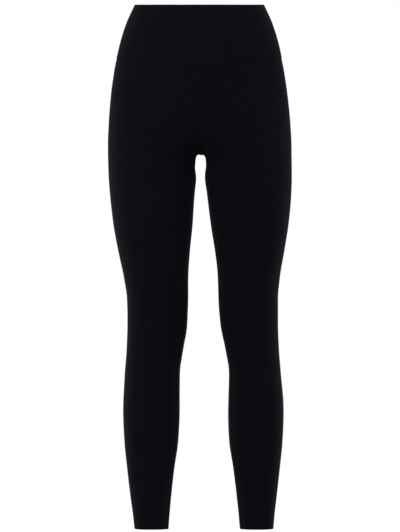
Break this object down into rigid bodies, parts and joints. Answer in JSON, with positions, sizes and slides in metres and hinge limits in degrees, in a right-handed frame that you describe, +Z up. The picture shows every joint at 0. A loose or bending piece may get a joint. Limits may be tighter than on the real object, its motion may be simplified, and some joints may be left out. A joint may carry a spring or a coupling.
{
  "type": "leggings",
  "caption": "High-waisted full-length leggings in plain black knit, with a deep waistband and a gusset, filled out as worn with no wearer.",
  "frame": {"origin": "middle of the waist opening, level with its edge at the sides", "axes": "+Z up out of the waist, -Y the garment's front, +X the wearer's left"},
  "size_m": [0.3336, 0.2202, 0.95],
  "materials": {
    "waistband_knit": "smooth matte black stretch knit, folded double",
    "leg_knit": "smooth matte black stretch knit with a faint cool sheen at grazing angles",
    "gusset_knit": "the legs' black stretch knit"
  },
  "bodies": {
    "root": {"waistband": "waistband_knit", "leg_left": "leg_knit", "leg_right": "leg_knit", "gusset": "gusset_knit"}
  },
  "joints": []
}
